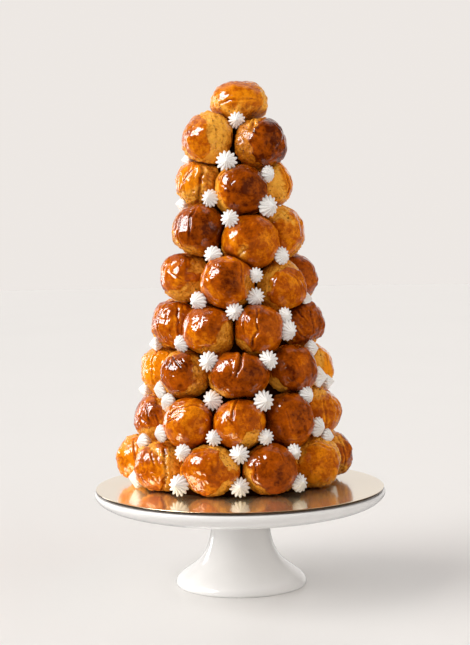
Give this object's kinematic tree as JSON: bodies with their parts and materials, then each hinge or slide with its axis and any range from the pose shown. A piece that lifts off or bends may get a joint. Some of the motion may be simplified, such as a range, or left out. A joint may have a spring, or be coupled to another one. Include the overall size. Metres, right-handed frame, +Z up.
{
  "type": "croquembouche",
  "caption": "Tall cone of caramel-glazed choux puffs with piped cream stars in the gaps, on a gold cake board on a white footed cake stand.",
  "frame": {"origin": "on the table under the middle of the stand's foot", "axes": "+Z up along the cone, front to -Y, +X to the right seen from the front"},
  "size_m": [0.2564, 0.2564, 0.4447],
  "materials": {
    "choux": "baked choux crust under amber caramel, pale and porous where the caramel stops",
    "cream": "piped whipped cream, soft white",
    "gold_foil": "pale gold foil on card, mirror-like",
    "white_glaze": "glossy white glaze"
  },
  "bodies": {
    "root": {"cake_stand": "white_glaze", "cake_board": "gold_foil", "puff_1_1": "choux", "puff_1_2": "choux", "puff_1_3": "choux", "puff_1_4": "choux", "puff_1_5": "choux", "puff_1_6": "choux", "puff_1_7": "choux", "puff_1_8": "choux", "puff_1_9": "choux", "puff_1_10": "choux", "puff_2_1": "choux", "puff_2_2": "choux", "puff_2_3": "choux", "puff_2_4": "choux", "puff_2_5": "choux", "puff_2_6": "choux", "puff_2_7": "choux", "puff_2_8": "choux", "puff_2_9": "choux", "puff_2_10": "choux", "puff_3_1": "choux", "puff_3_2": "choux", "puff_3_3": "choux", "puff_3_4": "choux", "puff_3_5": "choux", "puff_3_6": "choux", "puff_3_7": "choux", "puff_3_8": "choux", "puff_4_1": "choux", "puff_4_2": "choux", "puff_4_3": "choux", "puff_4_4": "choux", "puff_4_5": "choux", "puff_4_6": "choux", "puff_4_7": "choux", "puff_5_1": "choux", "puff_5_2": "choux", "puff_5_3": "choux", "puff_5_4": "choux", "puff_5_5": "choux", "puff_5_6": "choux", "puff_6_1": "choux", "puff_6_2": "choux", "puff_6_3": "choux", "puff_6_4": "choux", "puff_6_5": "choux", "puff_7_1": "choux", "puff_7_2": "choux", "puff_7_3": "choux", "puff_7_4": "choux", "puff_8_1": "choux", "puff_8_2": "choux", "puff_8_3": "choux", "puff_top": "choux"}
  },
  "joints": []
}
